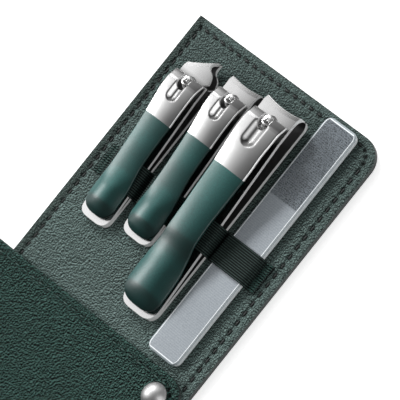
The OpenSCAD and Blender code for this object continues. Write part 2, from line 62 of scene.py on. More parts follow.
# materials
class Nodes:
    """A few short calls for building a procedural material."""

    def __init__(self, name):
        self.mat = bpy.data.materials.new(name)
        self.mat.use_nodes = True
        self.tree = self.mat.node_tree
        self.tree.nodes.clear()
        self.out = self.new("ShaderNodeOutputMaterial")
        self.shader = self.new("ShaderNodeBsdfPrincipled")
        self.link(self.shader.outputs[0], self.out.inputs["Surface"])
        self.coords = self.new("ShaderNodeTexCoord").outputs["Object"]

    def new(self, kind, **values):
        node = self.tree.nodes.new(kind)
        for key, value in values.items():
            if hasattr(node, key):
                setattr(node, key, value)
            else:
                node.inputs[key.replace("_", " ")].default_value = value
        return node

    def link(self, a, b):
        self.tree.links.new(a, b)

    def set(self, **values):
        for key, value in values.items():
            socket = self.shader.inputs[key.replace("_", " ")]
            if hasattr(value, "is_output"):
                self.link(value, socket)
            else:
                socket.default_value = value

    def noise(self, size_mm, detail=3.0, rough=0.5, vector=None):
        n = self.new("ShaderNodeTexNoise")
        n.inputs["Scale"].default_value = 1000.0 / size_mm
        n.inputs["Detail"].default_value = detail
        n.inputs["Roughness"].default_value = rough
        self.link(vector or self.coords, n.inputs["Vector"])
        return n.outputs["Fac"]

    def cell_edges(self, size_mm, vector):
        n = self.new("ShaderNodeTexVoronoi", feature="DISTANCE_TO_EDGE")
        n.inputs["Scale"].default_value = 1000.0 / size_mm
        self.link(vector, n.inputs["Vector"])
        return n.outputs["Distance"]

    def waves(self, direction, scale, distortion=0.0):
        n = self.new("ShaderNodeTexWave", bands_direction=direction)
        n.inputs["Scale"].default_value = scale
        n.inputs["Distortion"].default_value = distortion
        self.link(self.coords, n.inputs["Vector"])
        return n.outputs["Fac"]

    def math(self, op, a, b=None, clamp=False):
        n = self.new("ShaderNodeMath")
        n.operation = op
        n.use_clamp = clamp
        for i, v in enumerate((a, b)):
            if v is None:
                continue
            if hasattr(v, "is_output"):
                self.link(v, n.inputs[i])
            else:
                n.inputs[i].default_value = v
        return n.outputs[0]

    def total(self, *terms):
        """The sum of values, each times its weight."""
        parts = [self.math("MULTIPLY", value, weight) for value, weight in terms]
        while len(parts) > 1:
            parts.append(self.math("ADD", parts.pop(0), parts.pop(0)))
        return parts[0]

    def ramp(self, fac, stops):
        n = self.new("ShaderNodeValToRGB")
        ramp = n.color_ramp
        while len(ramp.elements) < len(stops):
            ramp.elements.new(0.5)
        for element, (place, colour) in zip(ramp.elements, stops):
            element.position = place
            element.color = (*colour, 1) if len(colour) == 3 else colour
        self.link(fac, n.inputs["Fac"])
        return n.outputs["Color"]

    def grey_ramp(self, fac, stops):
        return self.ramp(fac, [(place, (value,) * 3) for place, value in stops])

    def mix(self, fac, a, b):
        n = self.new("ShaderNodeMix")
        n.data_type = "RGBA"
        for socket, v in ((n.inputs[0], fac), (n.inputs[6], a), (n.inputs[7], b)):
            if hasattr(v, "is_output"):
                self.link(v, socket)
            else:
                socket.default_value = v if not isinstance(v, tuple) else (*v[:3], 1)
        return n.outputs[2]

    def bump(self, height, mm):
        n = self.new("ShaderNodeBump")
        n.inputs["Strength"].default_value = 1.0
        n.inputs["Distance"].default_value = mm * MM
        self.link(height, n.inputs["Height"])
        return n.outputs[0]

    def axis(self, which, vector=None):
        n = self.new("ShaderNodeSeparateXYZ")
        self.link(vector or self.coords, n.inputs[0])
        return n.outputs[which]

    def facing(self, which):
        """One axis of the object's own normal."""
        return self.axis(which, self.new("ShaderNodeTexCoord").outputs["Normal"])

    def seam(self):
        """The attribute that the mesh carries for its seams or ribs."""
        return self.new("ShaderNodeAttribute", attribute_name="seam").outputs["Fac"]


def srgb(r, g, b):
    """An sRGB colour of 0 to 255 as Blender's linear one."""
    def lin(c):
        c /= 255
        return c / 12.92 if c <= 0.04045 else ((c + 0.055) / 1.055) ** 2.4
    return (lin(r), lin(g), lin(b))


def scaled(colour, factor):
    return tuple(c * factor for c in colour)


# Leather: size of its pebbles and of the noise that bends and roughens them, in mm
PEBBLE, BEND, BEND_BY, FINE = 0.9, 1.3, 0.5, 0.55
# How deep a crease counts, and how far the relief is moved toward the light for the painted light and shade
# on each pebble, in mm
CREASE, LIT_SIDE = 0.22, (-0.22, 0.18, 0)


def leather(name, base, dark=0.3, light=2.1, grain_mm=PEBBLE, depth=0.6, gain=1.35):
    """Pebbled leather: relief, and painted light and shade that follow the lit side of each pebble.
    The attribute seam paints shade into the stitch holes and highlights on the puckers and beaded border."""
    n = Nodes(name)

    def relief(offset_mm):
        moved = n.new("ShaderNodeVectorMath")
        n.link(n.coords, moved.inputs[0])
        moved.inputs[1].default_value = scaled(offset_mm, MM)
        warp = n.new("ShaderNodeTexNoise")
        warp.inputs["Scale"].default_value = 1000.0 / BEND
        n.link(moved.outputs[0], warp.inputs["Vector"])
        wobble = n.new("ShaderNodeVectorMath", operation="MULTIPLY_ADD")
        n.link(warp.outputs["Color"], wobble.inputs[0])
        wobble.inputs[1].default_value = (BEND_BY * MM,) * 3
        n.link(moved.outputs[0], wobble.inputs[2])
        crease = n.math("MINIMUM", n.cell_edges(grain_mm, wobble.outputs[0]), CREASE)
        return n.total((crease, 2.0), (n.noise(FINE, 1.0, 0.5, moved.outputs[0]), 1.5))

    height = relief((0, 0, 0))
    # Painted light and shade: the relief minus the relief moved toward the light, so each pebble looks lit
    # from one side
    slant = n.math("SUBTRACT", height, relief(LIT_SIDE))
    tone = n.total((slant, gain), (n.noise(22.0, 2.0, 0.5), 0.3))
    # The grain colour carries that painted light and shade
    grain = n.ramp(n.math("ADD", tone, 0.35),
                   [(0.1, scaled(base, dark)), (0.5, base), (0.9, scaled(base, light))])
    # Painted shade in the stitch holes and painted highlights on the puckers and the bead, from the
    # attribute seam
    hole = n.math("MAXIMUM", n.seam(), 0.0, clamp=True)
    crest = n.math("MULTIPLY", n.math("MAXIMUM", n.math("MULTIPLY", n.seam(), -1.0), 0.0), 0.5)
    # Painted shade: the leather is darker toward the board's top edge
    along = n.grey_ramp(n.math("MULTIPLY", n.axis(1), 10.0), [(0.1, 0.0), (0.9, 0.4)])
    grain = n.mix(along, grain, scaled(base, 0.3))
    colour = n.mix(hole, n.mix(crest, grain, scaled(base, 2.0)), scaled(base, 0.05))
    n.set(Base_Color=colour, Roughness=0.42, Normal=n.bump(height, depth), Specular_IOR_Level=0.16)
    return n.mat


def steel(name, tone, rough, shade=None):
    """Polished steel with slow changes of tone and gloss. Shade paints shade and dark reflections into it
    by its own form, and the edges that face right get a painted highlight and a faint glow."""
    n = Nodes(name)
    slow = n.noise(7.0, 2.0, 0.5)
    value = n.math("ADD", n.math("MULTIPLY", slow, 0.1 * tone), 0.95 * tone)
    metal = 1.0
    if shade:
        value = n.math("MULTIPLY", value, shade(n))
        # Painted highlight: faces that look right get a pale colour, less metal and a faint glow
        edge = n.grey_ramp(n.facing(0), [(0.35, 0.0), (0.5, 1.0)])
        value = n.math("MAXIMUM", value, n.math("MULTIPLY", edge, 0.72))
        metal = n.math("SUBTRACT", 1.0, n.math("MULTIPLY", edge, 0.45))
        n.set(Emission_Color=(1, 1, 1, 1), Emission_Strength=n.math("MULTIPLY", edge, 0.14))
    n.set(Base_Color=value, Metallic=metal,
          Roughness=n.math("ADD", n.math("MULTIPLY", slow, 0.08), rough))
    return n.mat


def lever_shade(n):
    """Painted shade and dark reflection where a lever turns down at its front and right side."""
    front = n.math("MULTIPLY", n.math("ADD", n.facing(1), 1.0), 0.5)
    side = n.math("MULTIPLY", n.math("ADD", n.facing(0), 1.0), 0.5)
    return n.math(
        "MULTIPLY",
        n.grey_ramp(front, [(0.51, 1.0), (0.56, 0.62), (0.61, 0.36), (0.66, 0.2), (0.8, 0.5)]),
        n.grey_ramp(side, [(0.46, 1.0), (0.53, 0.95), (0.57, 0.8), (0.62, 0.62), (0.7, 0.8), (0.8, 1.0)]))


def arm_shade(n):
    """Painted shade to the right of a jaw, and a painted dark reflection on the flat between jaw and tail.
    """
    place = n.new("ShaderNodeTexCoord").outputs["Generated"]
    across, along = n.axis(0, place), n.axis(1, place)
    flat = n.grey_ramp(n.facing(2), [(0.86, 0.0), (0.95, 1.0)])
    middle = n.grey_ramp(along, [(0.08, 0.0), (0.13, 1.0), (0.84, 1.0), (0.88, 0.0)])
    jaw = n.grey_ramp(along, [(0.8, 0.0), (0.88, 1.0)])
    painted_shade_across = n.grey_ramp(across, [(0.0, 1.0), (0.35, 0.9), (0.8, 0.55), (1.0, 0.35)])
    painted_reflection_factor = n.math("SUBTRACT", 1.0, n.math("MULTIPLY", n.math("MULTIPLY", flat, middle), 0.8))
    return n.math("MULTIPLY", painted_reflection_factor, n.mix(jaw, (1.0, 1.0, 1.0), painted_shade_across))


LINING = leather("lining_leather", srgb(76, 91, 88), gain=1.5)
OUTER = leather("outer_leather", srgb(28, 46, 42), dark=0.08, light=4.2, grain_mm=1.0, depth=0.9, gain=2.3)
HEM = leather("hem_leather", srgb(52, 64, 61))
STEEL = steel("polished_steel", 0.66, 0.22)
ARM = steel("arm_steel", 0.66, 0.22, arm_shade)
# Painted shade and dark reflection: a dark steel for the arm faces that look at the other arm
SHADE_STEEL = steel("shade_painted_steel", 0.14, 0.4)
SHEET = steel("lever_steel", 0.34, 0.33, lever_shade)
SNAP = steel("snap_metal", 0.4, 0.45)


def painted_edge():
    n = Nodes("painted_edge")
    rub = n.noise(1.2, 4.0, 0.6)
    n.set(Base_Color=n.ramp(rub, [(0.3, srgb(14, 22, 20)), (0.7, srgb(40, 48, 46))]),
          Roughness=n.math("ADD", n.math("MULTIPLY", rub, 0.25), 0.45), Normal=n.bump(rub, 0.08))
    return n.mat


def thread(name, colour):
    """Waxed sewing thread with the slant of its ply."""
    n = Nodes(name)
    ply = n.waves("DIAGONAL", 700.0, 0.6)
    n.set(Base_Color=n.ramp(ply, [(0.2, scaled(colour, 0.45)), (0.8, colour)]),
          Roughness=0.6, Normal=n.bump(ply, 0.05))
    return n.mat


def elastic():
    """Ribbed elastic: dark thread over rubber, with a painted highlight on the ridges."""
    n = Nodes("elastic_weave")
    fuzz = n.noise(0.3, 3.0, 0.7)
    # Painted highlight: the ridges, given by the attribute seam, are paler
    tone = n.total((n.seam(), 0.62), (n.waves("X", 820.0), 0.12), (fuzz, 0.35))
    n.set(Base_Color=n.ramp(tone, [(0.36, srgb(1, 3, 3)), (0.7, srgb(5, 14, 13)), (1.0, srgb(64, 81, 77))]),
          Roughness=0.7, Specular_IOR_Level=0.15, Normal=n.bump(fuzz, 0.05))
    return n.mat


def lacquer():
    """Deep metallic green lacquer with fine flake under a satin clear coat, with painted shade where it
    faces right or slopes down toward the spoon.
    """
    n = Nodes("green_lacquer")
    flake = n.noise(0.45, 2.0, 0.8)
    slow = n.noise(16.0, 2.0, 0.4)
    tone = n.total((flake, 0.55), (slow, 0.4))
    # Painted shade: darker where the lacquer faces right or slopes down toward the spoon
    side = n.grey_ramp(n.facing(0), [(0.0, 1.0), (0.1, 0.7), (0.25, 0.3), (0.6, 0.3)])
    slope = n.grey_ramp(n.math("MULTIPLY", n.facing(1), -1.0), [(0.1, 1.0), (0.22, 0.35), (0.5, 0.25)])
    colour = n.mix(n.math("MULTIPLY", side, slope), srgb(0, 20, 18),
                   n.ramp(tone, [(0.28, srgb(0, 54, 52)), (0.66, srgb(6, 86, 82))]))
    n.set(Base_Color=colour, Metallic=0.1, Specular_IOR_Level=0.1,
          Roughness=n.math("ADD", n.math("MULTIPLY", flake, 0.1), 0.4),
          Coat_Weight=0.6, Coat_Roughness=0.36, Coat_IOR=1.6)
    return n.mat


def glass(name, pale, dark, rough, through, grain, sparkle=0.0):
    """Etched glass: grit and fine ground lines in the colour, grit in the gloss and surface."""
    n = Nodes(name)
    grit = n.noise(0.3, 2.0, 0.7)
    slow = n.noise(20.0, 1.0, 0.5)
    lines = n.waves("Y", 420.0, 0.4)
    tone = n.total((grit, 0.8 + sparkle), (slow, 0.2), (lines, 0.12))
    n.set(Base_Color=n.ramp(n.math("SUBTRACT", tone, 0.06 + sparkle / 2), [(0.3, dark), (0.7, pale)]),
          Roughness=n.math("ADD", n.math("MULTIPLY", grit, 0.2), rough),
          Transmission_Weight=through, IOR=1.5, Normal=n.bump(grit, grain))
    return n.mat


EDGE_PAINT = painted_edge()
THREAD = thread("green_thread", srgb(22, 66, 58))
# Painted shade: the lining's stitches are drawn near black, as the green thread lies in shade in its
# grooves
SHADED_THREAD = thread("shade_painted_thread", srgb(9, 22, 20))
ELASTIC = elastic()
LACQUER = lacquer()
BEVELLED = glass("bevel_glass", srgb(170, 180, 184), srgb(138, 148, 153), 0.3, 0.0, 0.01)
FROSTED = glass("frosted_glass", srgb(152, 159, 165), srgb(120, 127, 133), 0.5, 0.0, 0.03)
CLEAR = glass("clear_glass", srgb(140, 150, 158), srgb(50, 58, 64), 0.2, 0.35, 0.03, 0.6)
GROUND = glass("ground_edge", srgb(240, 244, 246), srgb(222, 228, 231), 0.25, 0.0, 0.005)


# mesh helpers
def finish_mesh(ob):
    bm = bmesh.new()
    bm.from_mesh(ob.data)
    bmesh.ops.recalc_face_normals(bm, faces=bm.faces)
    bm.to_mesh(ob.data)
    bm.free()
    for poly in ob.data.polygons:
        poly.use_smooth = True
    ob.data.set_sharp_from_angle(angle=SHARP)


def mesh_piece(name, verts, faces, materials, pick=None, seam=None):
    """An object from row-frame points; pick gives a face's material from its middle."""
    mesh = bpy.data.meshes.new(name)
    mesh.from_pydata([tuple(v) for v in verts], [], faces)
    for m in materials:
        mesh.materials.append(m)
    if pick:
        for poly in mesh.polygons:
            poly.material_index = pick(poly.center)
    if seam:
        mesh.attributes.new("seam", "FLOAT", "POINT").data.foreach_set("value", seam)
    mesh.update()
    ob = bpy.data.objects.new(name, mesh)
    bpy.context.scene.collection.objects.link(ob)
    finish_mesh(ob)
    return ob


def loops_piece(name, rings, materials, pick=None, seam=None):
    """Rings of points joined one to the next, with n-gon ends."""
    n = len(rings[0])
    verts = [v for ring in rings for v in ring]
    faces = []
    for i in range(len(rings) - 1):
        for j in range(n):
            a, b = i * n + j, i * n + (j + 1) % n
            faces.append((a, b, b + n, a + n))
    faces.append(tuple(range(n))[::-1])
    faces.append(tuple(range((len(rings) - 1) * n, len(rings) * n)))
    return mesh_piece(name, verts, faces, materials, pick, seam)


def prism(outline, z0, z1):
    """A closed upright prism over case-frame points."""
    return loops_piece("cutter", [[at(x, y, z) for x, y in outline] for z in (z0, z1)], [])


def circle(x, y, r, count=48, start=0.0, turn=360.0):
    """Points of a circle, or of an arc with its last point too."""
    angles = [math.radians(start + turn * i / count) for i in range(count + (turn < 360))]
    return [(x + r * math.cos(a), y + r * math.sin(a)) for a in angles]


def cut(ob, cutter):
    """Takes the cutter's volume out of a piece."""
    mod = ob.modifiers.new("hole", "BOOLEAN")
    mod.operation = "DIFFERENCE"
    mod.object = cutter
    mod.solver = "EXACT"
    graph = bpy.context.evaluated_depsgraph_get()
    mesh = bpy.data.meshes.new_from_object(ob.evaluated_get(graph))
    ob.modifiers.clear()
    ob.data = mesh
    bpy.data.objects.remove(cutter)
    mesh.set_sharp_from_angle(angle=SHARP)


def dress(ob, body, node=None):
    """Puts a piece on its body, in place of a node if one is named."""
    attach(ob, body)
    if node:
        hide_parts(node)


def curve(table, x):
    """A smooth curve through table's points that doesn't overshoot them."""
    if x <= table[0][0]:
        return table[0][1]
    if x >= table[-1][0]:
        return table[-1][1]
    i = max(k for k in range(len(table) - 1) if table[k][0] <= x)

    def slope(k):
        if k <= 0 or k >= len(table) - 1:
            return chord(min(k, len(table) - 2))
        p, q = chord(k - 1), chord(k)
        return 2 * p * q / (p + q) if p * q > 0 else 0.0

    def chord(k):
        return (table[k + 1][1] - table[k][1]) / (table[k + 1][0] - table[k][0])

    h = table[i + 1][0] - table[i][0]
    t = (x - table[i][0]) / h
    m0, m1 = slope(i) * h, slope(i + 1) * h
    y0, y1 = table[i][1], table[i + 1][1]
    return ((2 * t ** 3 - 3 * t * t + 1) * y0 + (t ** 3 - 2 * t * t + t) * m0
            + (3 * t * t - 2 * t ** 3) * y1 + (t ** 3 - t * t) * m1)


# leaves: pitch of the stitches, points drawn to each, the row's distance in from the edge, how
# deep a hole and how high a pucker is, and what is left of the leather under a hole
PITCH, PER_STITCH, STITCH_D = 3.75, 8, 3.05
HOLE_DEPTH, PUCKER, LEAST_LEFT = 0.4, 0.1, 0.06
STITCH_R, SHORTEST_STITCH = 0.34, 1.3


def leaf_loop(inset):
    """Points round a leaf at a distance in from its edge: two sharp and two rounded corners."""
    r = max(CORNER_R - inset, 0.05)
    x0, x1, y0, y1 = inset, CASE_W - inset, -CASE_L + inset, -inset
    step = PITCH / PER_STITCH
    cx = CASE_W - CORNER_R
    pts = []

    def run(a, b, length):
        count = round(length / step)
        pts.extend((a[0] + (b[0] - a[0]) * i / count, a[1] + (b[1] - a[1]) * i / count)
                   for i in range(count))

    def bow(cy, start):
        count = round(CORNER_R * math.pi / 2 / step)
        for i in range(count):
            a = start + math.pi / 2 * i / count
            pts.append((cx + r * math.cos(a), cy + r * math.sin(a)))

    run((x0, y1), (x0, y0), CASE_L)
    run((x0, y0), (cx, y0), cx)
    bow(CORNER_R - CASE_L, -math.pi / 2)
    run((x1, CORNER_R - CASE_L), (x1, -CORNER_R), CASE_L - 2 * CORNER_R)
    bow(-CORNER_R, 0)
    run((cx, y1), (x0, y1), cx)
    return pts


# Border and padded panel of a leather, from the edge in: distance in, height, and the share of
# the stitch hole, of the pucker and of the bead. The leather paints shade into the holes and highlights on
# the puckers and the bead.
BORDER = ((0.4, 0.08, 0, 0, 0.1), (0.8, 0.18, 0, 0, 0.35), (1.3, 0.22, 0, 0, 0.45),
          (1.8, 0.16, 0, 0, 0.35), (2.2, 0.04, 0, 0.2, 0.1), (2.5, -0.08, 0.5, 0.2, 0),
          (2.7, -0.14, 1, 0, 0), (3.05, -0.18, 1, 0, 0), (3.4, -0.14, 1, 0, 0))
PANEL = ((3.65, -0.02, 0.3, 0.4, 0), (4.1, 0.06, 0, 0.5, 0), (4.6, 0.06, 0, 0.2, 0),
         (5.4, 0.03, 0, 0, 0), (6.4, 0, 0, 0, 0))


def leather_sheet(name, place, z_under, z_top, soft, drop, materials, pick):
    """One leather of a leaf, with a rounded edge, a border lower by drop, a row of stitch
    holes and puckers, and a padded panel inside it."""
    up = 1 if z_top > z_under else -1
    rows = [(PANEL[-1][0], z_under, 0, 0, 0), (0.0, z_under, 0, 0, 0)]
    for i in range(7):
        a = math.pi / 2 * i / 6
        rows.append((soft * (1 - math.cos(a)),
                     z_top - up * (drop + soft * 0.8 * (1 - math.sin(a))), 0, 0, 0))
    rows += [(d, z_top + up * (h - drop), *shares) for d, h, *shares in BORDER]
    rows += [(d, z_top + up * h, *shares) for d, h, *shares in PANEL]
    rings, seam = [], []
    for d, z, hole, crest, bead in rows:
        ring = []
        least = 0.0 if z == z_under else LEAST_LEFT
        for k, (x, y) in enumerate(leaf_loop(d)):
            wave = math.cos(2 * math.pi * k / PER_STITCH)
            in_hole = hole * min(1.0, max(0.0, wave + 0.35) * 1.5)
            on_crest = crest * max(0.0, -wave + 0.25)
            high = max(up * (z - z_under) - HOLE_DEPTH * in_hole + PUCKER * on_crest, least)
            ring.append(place(x, y, z_under + up * high))
            seam.append(in_hole - on_crest - bead)
        rings.append(ring)
    return loops_piece(name, rings, materials, pick, seam)


# Along a stitch: place and share of the thread's radius
STITCH_FORM = ((0.0, 0.25), (0.06, 0.72), (0.18, 0.98), (0.5, 1.0), (0.82, 0.98), (0.94, 0.72), (1.0, 0.25))
STITCH_SIDES, STITCH_FLATNESS = 8, 0.7


def capsule(bm, a, b, r, bow):
    """A stitch of thread between two points, rounded at its ends and bowed in the middle."""
    axis = b - a
    length = axis.length
    axis.normalize()
    side = axis.cross(Vector((0, 0, 1))).normalized()
    up = side.cross(axis)
    turns = [2 * math.pi * i / STITCH_SIDES for i in range(STITCH_SIDES)]
    rings = []
    for t, share in STITCH_FORM:
        c = a + axis * (length * t) + up * (r * bow * math.sin(math.pi * t))
        rings.append([bm.verts.new(c + side * (r * share * math.cos(q))
                                   + up * (r * share * STITCH_FLATNESS * math.sin(q))) for q in turns])
    for p, q in zip(rings, rings[1:]):
        for i in range(STITCH_SIDES):
            j = (i + 1) % STITCH_SIDES
            bm.faces.new((p[i], p[j], q[j], q[i]))
    bm.faces.new(rings[0][::-1])
    bm.faces.new(rings[-1])


def threads(name, pairs, r, material, bow=0.5):
    """One piece of many stitches, each between a pair of points."""
    bm = bmesh.new()
    for a, b in pairs:
        capsule(bm, a, b, r * MM, bow)
    mesh = bpy.data.meshes.new(name)
    bm.to_mesh(mesh)
    bm.free()
    for p in mesh.polygons:
        p.use_smooth = True
    mesh.materials.append(material)
    ob = bpy.data.objects.new(name, mesh)
    bpy.context.scene.collection.objects.link(ob)
    return ob


def stitches(name, place, z, up, material):
    """One stitch in every hole of a sheet's border."""
    pts = leaf_loop(STITCH_D)
    half, longer, sunk = PER_STITCH // 4, 1.1, 0.42
    pairs = []
    for k in range(0, len(pts), PER_STITCH):
        a, b = pts[k - half], pts[(k + half) % len(pts)]
        if math.dist(a, b) > SHORTEST_STITCH:
            x, y = pts[k]
            pairs.append([place(x + (p - x) * longer, y + (q - y) * longer, z - up * sunk)
                          for p, q in (a, b)])
    return threads(name, pairs, STITCH_R, material)


# Radii and tops of the holes for the press stud, in the cover's lining and in the board's shell
SOCKET_HOLE, SOCKET_TOP = 4.62, 1.2
FLANGE_HOLE, FLANGE_TOP = 4.55, 0.2


def build_leaf(prefix, place, body):
    def lining_pick(c):
        return 1 if place is at and c.x < (HEM_W - 0.1 - ORIGIN[0]) * MM else 0

    lining = leather_sheet(prefix + "_lining_sheet", place, LEAF_T - LINING_T, LEAF_T, 0.25, 0.1,
                           [LINING, HEM], lining_pick)
    outer = leather_sheet(prefix + "_outer_sheet", place, SHELL_T, 0.2, 0.5, 0.08,
                          [OUTER], lambda c: 0)
    if body == "cover":
        cut(lining, prism(circle(*STUD, SOCKET_HOLE), COVER_Z - 1, COVER_Z + SOCKET_TOP))
    else:
        cut(outer, prism(circle(*STUD, FLANGE_HOLE), -1, SHELL_T + FLANGE_TOP))
    dress(lining, body, prefix + "_lining")
    dress(outer, body, prefix + "_shell")
    inner_row = stitches(prefix + "_lining_stitches", place, LEAF_T - 0.1, 1, SHADED_THREAD)
    dress(inner_row, body)
    outer_row = stitches(prefix + "_outer_stitches", place, 0.28, -1, THREAD)
    dress(outer_row, body)
    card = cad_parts[prefix + "_card"]
    card.data.materials.clear()
    card.data.materials.append(EDGE_PAINT)


build_leaf("board", at, "tool_board")
build_leaf("cover", cover_at, "cover")

# Levers: distances behind the pivot, heights above the lining. end and full: the tip, and where
# the rounding toward it begins. line: where the lacquer begins. groove: its ends and half width.
LEVERS = {
    "large": {
        "x": 49.6, "y": -15.2, "end": 70.5, "full": 64.5, "line": 19.5, "thick": 1.15, "hole": 2.2,
        "pivot": 11.95, "groove": (2.6, 8.0, 2.9),
        "half": [(-1.75, 6.7), (-1.2, 7.0), (5, 7.05), (10, 6.85), (15, 6.7), (20, 6.5), (30, 6.22),
                 (38, 5.95), (44, 6.0), (50, 6.6), (55, 7.25), (61, 7.55), (71, 7.55)],
        "top": [(-1.75, 12.15), (-1.6, 12.45), (-1.3, 12.75), (-0.6, 13.1), (0.3, 13.45), (1.2, 13.72),
                (2.2, 13.84), (7, 13.85), (11, 13.65), (15, 13.2), (20, 12.55), (30, 11.8), (38, 11.15),
                (44, 10.4), (49, 8.85), (53, 7.95), (57, 7.35), (60, 7.0), (65, 6.4), (70.5, 5.3)],
        "crown": [(-1.75, 0.4), (8, 0.55), (20, 0.7), (34, 0.75), (44, 0.85), (51, 1.35), (58, 2.0),
                  (64, 1.9), (70.5, 1.0)],
        "shift": [(0, 0.0), (4, -0.2), (10, -0.15), (16, 0.0), (50, 0.0), (60, -0.05), (70, -0.1)]},
    "small": {
        "x": 32.9, "y": -16.8, "end": 51.3, "full": 46.0, "line": 16.0, "thick": 0.95, "hole": 2.05,
        "pivot": 9.25, "groove": (2.5, 6.4, 2.15),
        "half": [(-1.75, 5.7), (-1.2, 6.0), (5, 5.88), (10, 5.5), (15, 5.25), (20, 5.05), (26, 4.98),
                 (30, 5.1), (35, 5.5), (40, 5.95), (45, 6.15), (52, 6.15)],
        "top": [(-1.75, 9.4), (-1.6, 9.7), (-1.3, 9.95), (-0.6, 10.3), (0.3, 10.65), (1.2, 10.95),
                (2.2, 11.08), (5, 11.05), (10, 10.5), (15, 9.6), (20, 8.9), (25, 8.3), (30, 7.5),
                (35, 6.65), (40, 5.9), (45, 5.3), (51.3, 4.3)],
        "crown": [(-1.75, 0.35), (6, 0.5), (16, 0.6), (28, 0.55), (34, 0.6), (38, 1.1), (42, 1.8),
                  (46, 1.8), (49, 1.3), (51.6, 0.7)],
        "shift": [(0, 0.0), (4, -0.15), (10, 0.0), (20, 0.15), (30, 0.45), (36, 0.7), (51, 0.65)]},
}
LEVERS["slant"] = dict(
    LEVERS["small"], x=16.7, y=-20.3, line=15.0, end=51.0, full=45.5,
    half=[(-1.75, 5.75), (-1.2, 6.05), (5, 6.0), (10, 5.72), (15, 5.47), (20, 5.22), (25, 5.05),
          (30, 5.0), (35, 5.3), (40, 5.75), (45, 5.85), (52, 5.85)],
    shift=[(0, 0.0), (4, -0.1), (12, 0.0), (30, 0.1), (36, 0.3), (51, 0.15)])
NOSE = [-1.75, -1.7, -1.6, -1.45, -1.3, -1.1, -0.9, -0.7, -0.5, -0.3, -0.1]
EDGE_R, EDGE_STEPS = 0.3, 6
GROOVE_DEPTH, GROOVE_FROM = 1.25, 1.4
TIP_L, TIP_DROP = 2.6, 0.55
BAR_R = 0.62


def lever_outline(p):
    """Distance behind the pivot and half width, from the nose to the rounded tip."""
    end, full, line = p["end"], p["full"], p["line"]
    places = NOSE + [0.2 * i + 0.1 for i in range(60)]
    while places[-1] < full:
        places.append(places[-1] + 0.6)
    places = sorted(set(round(v, 3) for v in places if v < full and abs(v - line) > 0.12)
                    | {line - 0.01, line + 0.01})
    outline = [(v, curve(p["half"], v)) for v in places]
    for i in range(25):
        q = math.radians(88.5 * i / 24)
        outline.append((full + (end - full) * math.sin(q) ** 0.9,
                        curve(p["half"], full) * max(math.cos(q), 0.0) ** 0.66))
    return outline


def lever_ring(p, v, half):
    """The section at one place: crowned top, rounded edges and the underside."""
    g0, g1, groove_half = p["groove"]
    edge = min(EDGE_R, half * 0.5)
    crown = curve(p["crown"], v) * min(1.0, (half / curve(p["half"], v)) ** 1.2)
    top = curve(p["top"], v) - TIP_DROP * max(0.0, (v - p["end"] + TIP_L) / TIP_L) ** 2.5
    lift = curve(((0, 0.6), (0.6 * p["full"], 0.5), (p["full"], 0.8)), v)
    wall = p["thick"] * (0.55 if v < -1.65 else 0.8 if v < -1.5 else 1.0)

    def skin(side):
        x = side * (half - edge)
        away = math.hypot(x, max(g0 - v, 0.0, v - g1)) / groove_half
        dent = min(1.0, max(0.0, 1.04 - away)) if v > GROOVE_FROM else 0.0
        return (x, top + crown * (lift - abs(side) ** 2.0),
                GROOVE_DEPTH * math.sin(math.pi / 2 * dent) ** 1.4)

    def rounded(side, first):
        x, z, _ = skin(side)
        turns = [math.radians(first - 180 * i / EDGE_STEPS) for i in range(1, EDGE_STEPS)]
        return [(x + edge * math.cos(a), z - wall / 2 + wall / 2 * math.sin(a)) for a in turns]

    over = [(x, z - dent) for x, z, dent in (skin(-1 + i / 16) for i in range(33))]
    under = [(x, z - wall - dent) for x, z, dent in (skin(1 - i / 8) for i in range(17))]
    ring = over + rounded(1, 90) + under + rounded(-1, -90)
    mid = p["x"] + curve(p["shift"], v)
    return [at(mid + x, p["y"] - v, LEAF_T + z) for x, z in ring]


def build_lever(which):
    """Pressed lever: crowned across, waisted, with a spoon end, a rolled front and a groove."""
    p = LEVERS[which]
    outline = lever_outline(p)
    rings = [lever_ring(p, v, half) for v, half in outline]
    ob = loops_piece(which + "_lever_sheet", rings, [SHEET, LACQUER])
    for i, poly in enumerate(ob.data.polygons):
        row = i // len(rings[0])
        if row < len(rings) - 1 and outline[row][0] >= p["line"]:
            poly.material_index = 1
    x, y, r, z = p["x"], p["y"], p["hole"], LEAF_T + p["pivot"]
    hole = circle(x, y - 1.6, r, 24, 180, 180) + [(x + r, y + 9), (x - r, y + 9)]
    cut(ob, prism(hole, z - 5, z + 6))
    dress(ob, which + "_handle", which + "_lever")
    turns = [math.pi * i / 12 for i in range(24)]
    bar = [[at(end, y + BAR_R * math.cos(a), z + BAR_R * math.sin(a)) for a in turns]
           for end in (x - r - 0.6, x + r + 0.6)]
    dress(loops_piece(which + "_lever_bar", bar, [STEEL]), which + "_handle")


for which in LEVERS:
    build_lever(which)

# elastic band
BAND_Y, BAND_W, BAND_LEFT, BAND_END, BAND_GAP = 55.0, 11.0, 4.8, 77.5, 0.3
RIBS, STEPS_PER_RIB = 14, 8
# Height of the middle line on the lining, how far a valley stands above that line, how much more
# a ridge does, and how far the back is below it
MIDDLE, VALLEY, RIDGE, BACK = 0.4, 0.16, 0.24, 0.36
# Middle, half width, height at the band's middle and rise along Y of what the band holds
HELD = ((16.7, 5.85, 3.85, 0.1157), (32.9, 5.85, 3.44, 0.1157), (49.6, 7.0, 5.91, 0.117),
        (66.5, 6.55, 2.6, 0.0))
# Left and right end of each slanted row of tacks
TACKS = ((5.1, 6.9), (6.5, 8.6), (74.6, 76.0), (75.7, 77.2))


